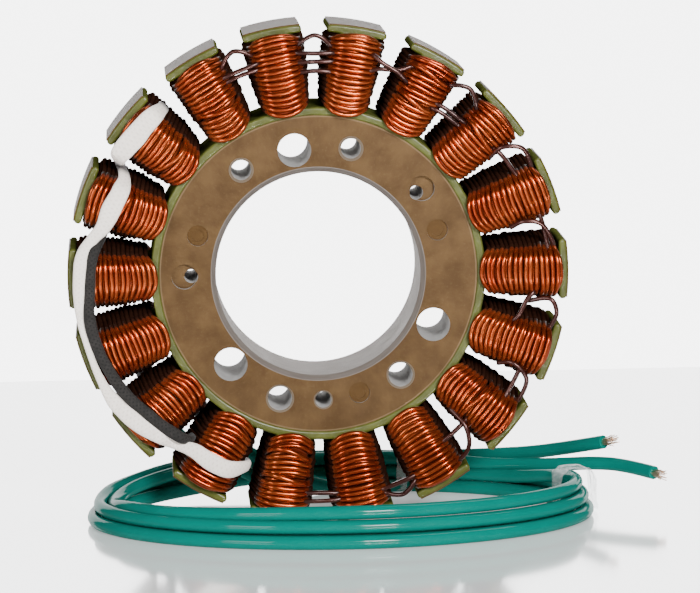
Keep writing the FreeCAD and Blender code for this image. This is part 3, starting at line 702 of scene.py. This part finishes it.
def make_coat(material, on_sides):
    """The epoxy coat: a flat cap at each face, rounded edges all round, and smooth walls between."""
    inner = []
    for step in range(360):
        wave = noise.noise(polar(9.0, step)) + 0.6 * noise.noise(polar(31.0, step))
        inner.append(polar(COAT_INNER_RADIUS + COAT_WAVE * wave, step))
    half = HALF_STACK + COAT
    insets = []
    for step in range(COAT_STEPS + 1):
        turn = math.pi / 2.0 * step / COAT_STEPS
        insets.append((COAT_ROUNDING * (1.0 - math.cos(turn)), COAT_ROUNDING * (1.0 - math.sin(turn))))
    insets.append((COAT_ROUNDING * 1.25, 0.0))
    levels = [(inset, half - drop) for inset, drop in insets]
    levels = [(inset, y) for inset, y in reversed(levels)] + [(inset, -y) for inset, y in levels]
    body = bmesh.new()
    front_and_back = ([], [])
    for loop, inwards in ((coat_outline(), 1.0), (inner, -1.0)):
        normals = loop_normals(loop)
        rows = []
        for inset, y in levels:
            row = []
            for point, normal in zip(loop, normals):
                spot = point - normal * (inset * inwards)
                row.append(body.verts.new((spot.x, y, spot.z)))
            rows.append(row)
        for upper, lower in zip(rows, rows[1:]):
            for i in range(len(loop)):
                j = (i + 1) % len(loop)
                corners = (upper[i], upper[j], lower[j], lower[i])
                body.faces.new(corners if inwards > 0 else tuple(reversed(corners)))
        front_and_back[0].append(rows[0])
        front_and_back[1].append(rows[-1])
    for loops in front_and_back:
        edges = []
        for row in loops:
            for i in range(len(row)):
                edges.append(body.edges.get((row[i], row[(i + 1) % len(row)])))
        bmesh.ops.triangle_fill(body, use_beauty=True, use_dissolve=False, edges=edges)
    bmesh.ops.recalc_face_normals(body, faces=body.faces)
    mesh = bpy.data.meshes.new("epoxy_coat")
    body.to_mesh(mesh)
    body.free()
    mesh.shade_smooth()
    add_piece("epoxy_coat", mesh, material, ["insulation_coat"])
    second_material(mesh, on_sides, lambda polygon: abs(polygon.normal.y) < WALL_SLOPE)


def coil_thickness(distance):
    """Thickness of the winding at a distance from the axis."""
    share = (distance - FIRST_TURN) / (LAST_TURN - FIRST_TURN)
    return mix(THICKNESS_AT_ROOT, THICKNESS_AT_TIP, share)


def turn_steps(slant):
    """Places round one turn: corner, angle there, share of the straight after it, share of pitch climbed."""
    places = []
    for corner, fractions in enumerate(((0.33, 0.67), (0.25, 0.5, 0.75), (0.33, 0.67), (0.25, 0.5, 0.75))):
        for step in range(4):
            places.append((corner, math.radians(90.0 * corner + 30.0 * step), 0.0))
        for fraction in fractions:
            places.append((corner, math.radians(90.0 * corner + 90.0), fraction))
    climbs = ((3, 6, 0.35 * (1.0 - slant)), (8, 14, slant), (16, 19, 0.35 * (1.0 - slant)),
              (22, 26, 0.30 * (1.0 - slant)))
    steps = []
    for index, place in enumerate(places):
        climbed = 0.0
        for start, stop, weight in climbs:
            climbed += weight * min(max((index - start) / (stop - start), 0.0), 1.0)
        steps.append((*place, climbed))
    return steps


def winding_line(rng, below, shift, slant, crossed, bulge):
    """The middle line of one layer of wire round the tooth that points along X."""
    corners = ((1, 1), (-1, 1), (-1, -1), (1, -1))
    pitch = (LAST_TURN - FIRST_TURN) / TURNS
    wave_start = rng.uniform(0.0, 100.0)
    line = []
    for turn in range(TURNS):
        bow = mix(BOW_AT_ROOT, BOW_AT_TIP, turn / (TURNS - 1))
        nudge = rng.gauss(0.0, TURN_NUDGE)
        tilt = rng.gauss(0.0, TURN_NUDGE)
        lift = rng.gauss(0.0, TURN_LIFT) - below
        stagger = SIDE_STAGGER * (1 if turn % 2 else -1)
        for corner, angle, fraction, climbed in turn_steps(slant):
            distance = FIRST_TURN + pitch * (turn + climbed + shift)
            height = coil_thickness(distance) - WIRE_DIAMETER / 2.0 + lift
            rounding = CORNER_BASE + height
            half_width = COIL_BASE + height + stagger
            half_length = HALF_STACK + COAT + 0.00005 + height
            ends = []
            for which in (corner, (corner + 1) % 4):
                y = corners[which][0] * (half_length - rounding) + rounding * math.cos(angle)
                z = corners[which][1] * (half_width - rounding) + rounding * math.sin(angle)
                ends.append((y, z))
            y = mix(ends[0][0], ends[1][0], fraction)
            z = mix(ends[0][1], ends[1][1], fraction)
            on_side = max(0.0, (abs(z) - (half_width - rounding)) / rounding)
            swell = bulge * min(1.0, 0.35 + 2.0 * turn / TURNS) * max(0.0, 1.0 - (y / HALF_STACK) ** 4)
            z += math.copysign(swell * on_side, z)
            on_face = max(0.0, (abs(y) - (half_length - rounding)) / rounding)
            middle = on_face * (1.0 - 0.8 * (z / half_width) ** 2)
            distance += (bow + nudge) * middle + tilt * on_face * z / half_width
            y += math.copysign(DOME * middle, y)
            if turn in crossed and y < 0.0:
                distance += CROSSING_REACH * on_face * z / half_width
                y -= CROSSING_LIFT * middle
            spot = (z * WAVE_ACROSS, turn * WAVE_PER_TURN, below * WAVE_PER_LAYER + wave_start)
            wave = noise.noise(Vector(spot))
            line.append(Vector((distance + TURN_WAVE * 2.0 * wave * on_face, y, z)))
    return line


def make_windings(material, painted_slot_shade):
    """Each coil's wire, wound turn by turn in two layers, turned to its tooth."""
    for i in range(TOOTH_COUNT):
        rng = random.Random(FIRST_COIL_SEED + i)
        turned = Matrix.Rotation(math.radians(-i * 360.0 / TOOTH_COUNT), 3, "Y")
        crossed = CROSSED_TURNS.get(i, ())
        shape = Shape()
        bulge = SIDE_BULGE * FULLER_COILS.get(i, 1.0)
        outer = winding_line(rng, 0.0, 0.0, SLANTS[i], crossed, bulge)
        under = winding_line(rng, UNDER_LAYER, 0.5, SLANTS[i], (), bulge)
        shape.tube([turned @ spot for spot in outer], WIRE_DIAMETER / 2.0, OUTER_SIDES)
        shape.tube([turned @ spot for spot in under], WIRE_DIAMETER / 2.0, UNDER_SIDES)
        name = "winding_%02d" % (i + 1)
        mesh = shape.mesh(name)
        add_piece(name, mesh, material, ["coil_%02d" % (i + 1)])
        # Faces down in the slots get the near-black painted-shade material.
        second_material(mesh, painted_slot_shade, lambda polygon: abs(polygon.center.y) < HALF_STACK + SLOT_DARK_FROM)


def make_links(material):
    """The wires that link the coils over the slots."""
    for number in sorted({row[0] for row in LINKS}):
        shape = Shape()
        for _, slot, span, start, middle, end, level in (row for row in LINKS if row[0] == number):
            y = level + LINK_DEPTH
            line = smooth_line([
                polar(start - 0.0004, slot - span, LINK_END_Y),
                polar(start, slot - 0.85 * span, mix(LINK_END_Y, y, 0.75)),
                polar(mix(start, middle, 0.65), slot - 0.45 * span, y),
                polar(middle, slot, y),
                polar(mix(end, middle, 0.65), slot + 0.45 * span, y),
                polar(end, slot + 0.85 * span, mix(LINK_END_Y, y, 0.75)),
                polar(end - 0.0004, slot + span, LINK_END_Y),
            ], 5)
            shape.tube(line, WIRE_DIAMETER / 2.0, OUTER_SIDES)
        for row in (row for row in ARCHES if row[0] == number):
            slot = row[1]
            places = row[2:]
            line = [polar(distance, slot + angle, y) for (angle, distance), y in zip(places, ARCH_LEVELS)]
            angle, distance = places[-1]
            past, lower, y = ARCH_END
            line.append(polar(distance + lower, slot + angle + past, y))
            shape.tube(smooth_line(line, 7), WIRE_DIAMETER / 2.0, OUTER_SIDES)
        name = "link_loop_%02d" % number
        add_piece(name, shape.mesh(name), material, ["link_wire_%02d" % number])


def make_sleeve(name, rows, material, node):
    """A flattened braided sleeve over the coils, with its ends turned back into the slots."""
    stations = [(angle, OUTER_RADIUS - inside, width, SLEEVE_Y + sunk) for angle, inside, width, sunk in rows]
    legs = []
    for angle, distance, width, y in (stations[0], stations[-1]):
        legs.append((angle, distance, width * 0.85, y + 0.35 * SLEEVE_LEG_DEPTH))
        legs.append((angle, distance, width * 0.8, y + SLEEVE_LEG_DEPTH))
    stations = [legs[1], legs[0]] + stations[1:-1] + [legs[2], legs[3]]
    middle = smooth_line([polar(distance, angle, y) for angle, distance, width, y in stations], 8)
    widths = smooth_line([(width, 0.0, 0.0) for angle, distance, width, y in stations], 8)
    shape = Shape()
    lengths = [0.0]
    for i, point in enumerate(middle):
        ahead = middle[min(i + 1, len(middle) - 1)]
        tangent = (ahead - middle[max(i - 1, 0)]).normalized()
        radial = Vector((point.x, 0.0, point.z)).normalized()
        across = (radial - tangent * radial.dot(tangent)).normalized()
        out = across.cross(tangent)
        if i:
            lengths.append(lengths[-1] + (point - middle[i - 1]).length)
        ripple = 1.0 + 0.10 * noise.noise(point * 260.0)
        for k in range(SLEEVE_SIDES):
            turn = 2.0 * math.pi * k / SLEEVE_SIDES
            wide = math.copysign(abs(math.cos(turn)) ** 0.75, math.cos(turn)) * widths[i].x / 2.0 * ripple
            thick = math.copysign(abs(math.sin(turn)) ** 0.75, math.sin(turn)) * SLEEVE_HALF_THICKNESS
            shape.verts.append(point + across * wide + out * thick)
    shape.ring_strip(0, len(middle), SLEEVE_SIDES)
    mesh = shape.mesh(name)
    uv = mesh.uv_layers.new(name="UVMap")
    for polygon in mesh.polygons:
        columns = [index % SLEEVE_SIDES for index in polygon.vertices]
        wraps = max(columns) == SLEEVE_SIDES - 1 and min(columns) == 0
        for loop, index in zip(polygon.loop_indices, polygon.vertices):
            column = index % SLEEVE_SIDES
            if wraps and column == 0:
                column = SLEEVE_SIDES
            uv.data[loop].uv = (lengths[index // SLEEVE_SIDES], column * UV_PER_COLUMN)
    add_piece(name, mesh, material, [node])


def make_shrinks(material):
    """Heat-shrink sleeves where the leads join the coils, a little wavy and pinched at both ends."""
    for node, start, stop, y in SHRINKS:
        a = polar(start[0], start[1], y)
        b = polar(stop[0], stop[1], y)
        points = []
        radii = []
        for step in range(SHRINK_STEPS + 1):
            share = step / SHRINK_STEPS
            points.append(mix(a, b, share))
            pinch = 0.28 * (math.exp(-share * 16.0) + math.exp(-(1.0 - share) * 16.0))
            ripple = 0.03 * noise.noise(points[-1] * 700.0)
            radii.append(SHRINK_RADIUS * (1.0 - pinch + ripple))
        shape = Shape()
        shape.tube(points, radii, 24)
        add_piece("shrink_" + node[-1], shape.mesh("shrink_" + node[-1]), material, [node])


def ring_route(places):
    """Control points of a lead's turns in the coil, evenly spaced between the places that are given."""
    points = []
    first = places[0][0]
    last = places[-1][0]
    count = round((first - last) / RING_STEP_DEG)
    for step in range(count + 1):
        angle = mix(first, last, step / count)
        for before, after in zip(places, places[1:]):
            if after[0] <= angle + 1e-9:
                break
        share = (before[0] - angle) / (before[0] - after[0])
        share = share * share * (3.0 - 2.0 * share)
        out = mix(before[1], after[1], share)
        height = mix(before[2], after[2], share)
        turn = math.radians(angle)
        points.append((
            RING_CENTRE[0] + (RING_HALF_LENGTH * RING_INSET + out) * math.cos(turn),
            RING_CENTRE[1] + (RING_HALF_DEPTH * RING_INSET + out) * math.sin(turn),
            FLOOR_Z + height,
        ))
    return points


def make_lead(name, points, material, nodes):
    """One green lead as a round curve along its route."""
    curve = bpy.data.curves.new(name, "CURVE")
    curve.dimensions = "3D"
    curve.resolution_u = 8
    curve.bevel_depth = CABLE_DIAMETER / 2.0
    curve.bevel_resolution = 6
    curve.use_fill_caps = True
    spline = curve.splines.new("NURBS")
    spline.points.add(len(points) - 1)
    for spot, point in zip(spline.points, points):
        spot.co = (*point, 1.0)
    spline.order_u = 3
    spline.use_endpoint_u = True
    lead = add_piece(name, curve, material, nodes)


def make_strands(name, end, material, node, seed):
    """The bare strands at a cut end, twisted a little and splayed."""
    rng = random.Random(seed)
    tip = Vector(end[-1])
    heading = (tip - Vector(end[-2])).normalized()
    side = heading.orthogonal().normalized()
    up = heading.cross(side)
    shape = Shape()
    for strand in range(STRANDS):
        ring = math.sqrt((strand + 0.5) / STRANDS) * CABLE_DIAMETER * 0.27
        turn = strand * 2.39996
        reach = STRAND_LENGTH * rng.uniform(0.72, 1.08)
        splay = STRAND_SPLAY * rng.uniform(0.1, 1.0)
        line = []
        for step in range(6):
            share = step / 5.0
            angle = turn + 0.5 * share
            spread = ring + splay * share ** 2
            line.append(tip + heading * (reach * share - 0.0006)
                        + side * (spread * math.cos(angle)) + up * (spread * math.sin(angle)))
        shape.tube(line, STRAND_DIAMETER / 2.0, 6)
    return add_piece(name, shape.mesh(name), material, [node])


def make_tie(node, angle, width, crumple, material):
    """A crumpled band of clear film over the coil of leads, open underneath."""
    # Without a seed, noise_vector gives other values in each run
    noise.seed_set(CRUMPLE_SEED)
    turn = math.radians(angle)
    centre = Vector((RING_CENTRE[0] + RING_HALF_LENGTH * math.cos(turn),
                     RING_CENTRE[1] + RING_HALF_DEPTH * math.sin(turn), FLOOR_Z))
    out = Vector((math.cos(turn), math.sin(turn), 0.0))
    along = Vector((-out.y, out.x, 0.0))
    up = Vector((0.0, 0.0, 1.0))
    flat = TIE_HALF_WIDTH - TIE_ROUNDING
    wall = TIE_HEIGHT - TIE_ROUNDING
    profile = [(TIE_HALF_WIDTH, TIE_FOOT + step * (wall - TIE_FOOT) / 6.0) for step in range(6)]
    for step in range(7):
        bend = math.pi / 2.0 * step / 6.0
        profile.append((flat + TIE_ROUNDING * math.cos(bend), wall + TIE_ROUNDING * math.sin(bend)))
    profile.append((flat * 0.33, TIE_HEIGHT))
    profile += [(-x, z) for x, z in reversed(profile)]
    shape = Shape()
    for x, z in profile:
        for column in range(TIE_COLUMNS):
            place = (column / (TIE_COLUMNS - 1) - 0.5) * width
            spot = centre + out * x + along * place + up * z
            shift = noise.noise_vector(spot * CRUMPLE_COARSE) + noise.noise_vector(spot * CRUMPLE_FINE) * 0.4
            lift = up * abs(shift.z) if z > TIE_HEIGHT / 2 else Vector()
            spot = spot + (out * math.copysign(abs(shift.x), x) + lift) * crumple
            shape.verts.append(spot + along * shift.y * crumple * 0.6)
    for row in range(len(profile) - 1):
        for column in range(TIE_COLUMNS - 1):
            a = row * TIE_COLUMNS + column
            shape.faces.append((a, a + 1, a + TIE_COLUMNS + 1, a + TIE_COLUMNS))
    tie = add_piece(node + "_film", shape.mesh(node + "_film"), material, [node])
    shell = tie.modifiers.new("film", "SOLIDIFY")
    shell.thickness = TIE_THICKNESS
    return tie


def make_leads(cable, strand, film):
    """Both leads, their strands and the film ties round them."""
    ties = [make_tie(node, angle, width, crumple, film) for node, angle, width, crumple in TIES]
    strands_1 = make_strands("strands_1", END_1, strand, "lead_1_strands", 3)
    strands_2 = make_strands("strands_2", END_2, strand, "lead_2_strands", 8)
    route_1 = [EXIT_1, *DROP_1, *ring_route(TURNS_1), *END_1]
    route_2 = [EXIT_2, *DROP_2, *ring_route(TURNS_2), *END_2]
    make_lead("lead_1", route_1, cable, ["lead_1_drop", "lead_coil", "lead_1_end"])
    make_lead("lead_2", route_2, cable, ["lead_2_drop", "lead_coil", "lead_2_end"])


def dress_nodes(steel, hole, rivet):
    """The CAD nodes whose shape stays get their materials."""
    for name, material in [("lamination_stack", steel)] + [("rivet_%d" % n, rivet) for n in (1, 2, 3)]:
        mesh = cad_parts[name].data
        mesh.materials.clear()
        mesh.materials.append(material)

    def in_hole(polygon):
        """Whether a polygon is part of a hole's wall in the ring."""
        distance = math.hypot(polygon.center.x, polygon.center.z)
        return abs(polygon.normal.y) < WALL_SLOPE / 2.0 and BORE_EDGE < distance < COAT_INNER_RADIUS

    second_material(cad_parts["lamination_stack"].data, hole, in_hole)


def plane(name, corners, finish):
    """One flat four-cornered piece of the stage."""
    mesh = bpy.data.meshes.new(name)
    mesh.from_pydata(corners, [], [(0, 1, 2, 3)])
    piece = bpy.data.objects.new(name, mesh)
    bpy.context.scene.collection.objects.link(piece)
    mesh.materials.append(finish.material)


def make_stage():
    """A pale glossy table and a pale backdrop behind its far edge."""
    table = Finish("table", colour=TABLE, roughness=0.09, metallic=0.35, Specular_IOR_Level=0.9,
                   Emission_Color=WHITE_GLOW, Emission_Strength=TABLE_GLOW)
    w = TABLE_HALF_WIDTH
    plane("table", [(-w, TABLE_NEAR_EDGE, FLOOR_Z), (w, TABLE_NEAR_EDGE, FLOOR_Z),
                    (w, TABLE_FAR_EDGE, FLOOR_Z), (-w, TABLE_FAR_EDGE, FLOOR_Z)], table)
    backdrop = Finish("backdrop", colour=BACKDROP, roughness=0.9, Emission_Color=WHITE_GLOW,
                      Emission_Strength=BACKDROP_GLOW)
    w = BACKDROP_HALF_WIDTH
    plane("backdrop", [(-w, BACKDROP_Y, BACKDROP_BOTTOM), (w, BACKDROP_Y, BACKDROP_BOTTOM),
                       (w, BACKDROP_Y, BACKDROP_TOP), (-w, BACKDROP_Y, BACKDROP_TOP)], backdrop)


def area_light(name, place, size, power):
    """A soft square light that looks at the origin."""
    light = bpy.data.lights.new(name, "AREA")
    light.shape = "SQUARE"
    light.size = size
    light.energy = power
    lamp = bpy.data.objects.new(name, light)
    lamp.location = place
    lamp.rotation_euler = (-Vector(place)).to_track_quat("-Z", "Y").to_euler()
    bpy.context.scene.collection.objects.link(lamp)


def make_lights():
    """Soft light from the front and from above, weaker from the left, and a pale surround."""
    for row in LIGHTS:
        area_light(*row)
    world = bpy.data.worlds.new("surround")
    world.use_nodes = True
    background = world.node_tree.nodes["Background"]
    background.inputs["Color"].default_value = (*SURROUND, 1.0)
    background.inputs["Strength"].default_value = SURROUND_STRENGTH
    bpy.context.scene.world = world


def make_camera():
    """The camera at the photograph's viewing angle."""
    yaw = math.radians(CAMERA_YAW)
    pitch = math.radians(CAMERA_PITCH)
    roll = math.radians(CAMERA_ROLL)
    forward = Vector((math.sin(yaw) * math.cos(pitch), math.cos(yaw) * math.cos(pitch), -math.sin(pitch)))
    level = Vector((math.cos(yaw), -math.sin(yaw), 0.0))
    upright = level.cross(forward)
    right = level * math.cos(roll) + upright * math.sin(roll)
    up = upright * math.cos(roll) - level * math.sin(roll)
    data = bpy.data.cameras.new("camera")
    data.sensor_width = CAMERA_SENSOR_MM
    data.lens = CAMERA_FOCAL_PIXELS / IMAGE_WIDTH * CAMERA_SENSOR_MM
    data.clip_start = 0.05
    data.clip_end = 20.0
    camera = bpy.data.objects.new("camera", data)
    bpy.context.scene.collection.objects.link(camera)
    turn = Matrix((right, up, -forward)).transposed()
    camera.matrix_world = Matrix.Translation(CAMERA_PLACE) @ turn.to_4x4()
    bpy.context.scene.camera = camera


make_camera()
make_leads(cable_finish(), strand_finish(), film_finish())
make_coat(epoxy_finish(), epoxy_side_finish())
make_windings(copper_finish("copper_wire", COPPER, 0.9), slot_shade_finish())
# The link wires get copper darkened to near black: painted shade.
make_links(copper_finish("shaded_link_wire", SHADED_LINK_WIRE, 0.5))
make_sleeve("white_sleeving", WHITE_SLEEVE, braid_finish("white_braid", WHITE_BRAID, 0.3, 0.35),
            "white_sleeve")
make_sleeve("black_sleeving", BLACK_SLEEVE, braid_finish("black_braid", BLACK_BRAID, 0.5, 0.08),
            "black_sleeve")
make_shrinks(shrink_finish())
dress_nodes(steel_finish(), hole_finish(), rivet_finish())
make_stage()
make_lights()
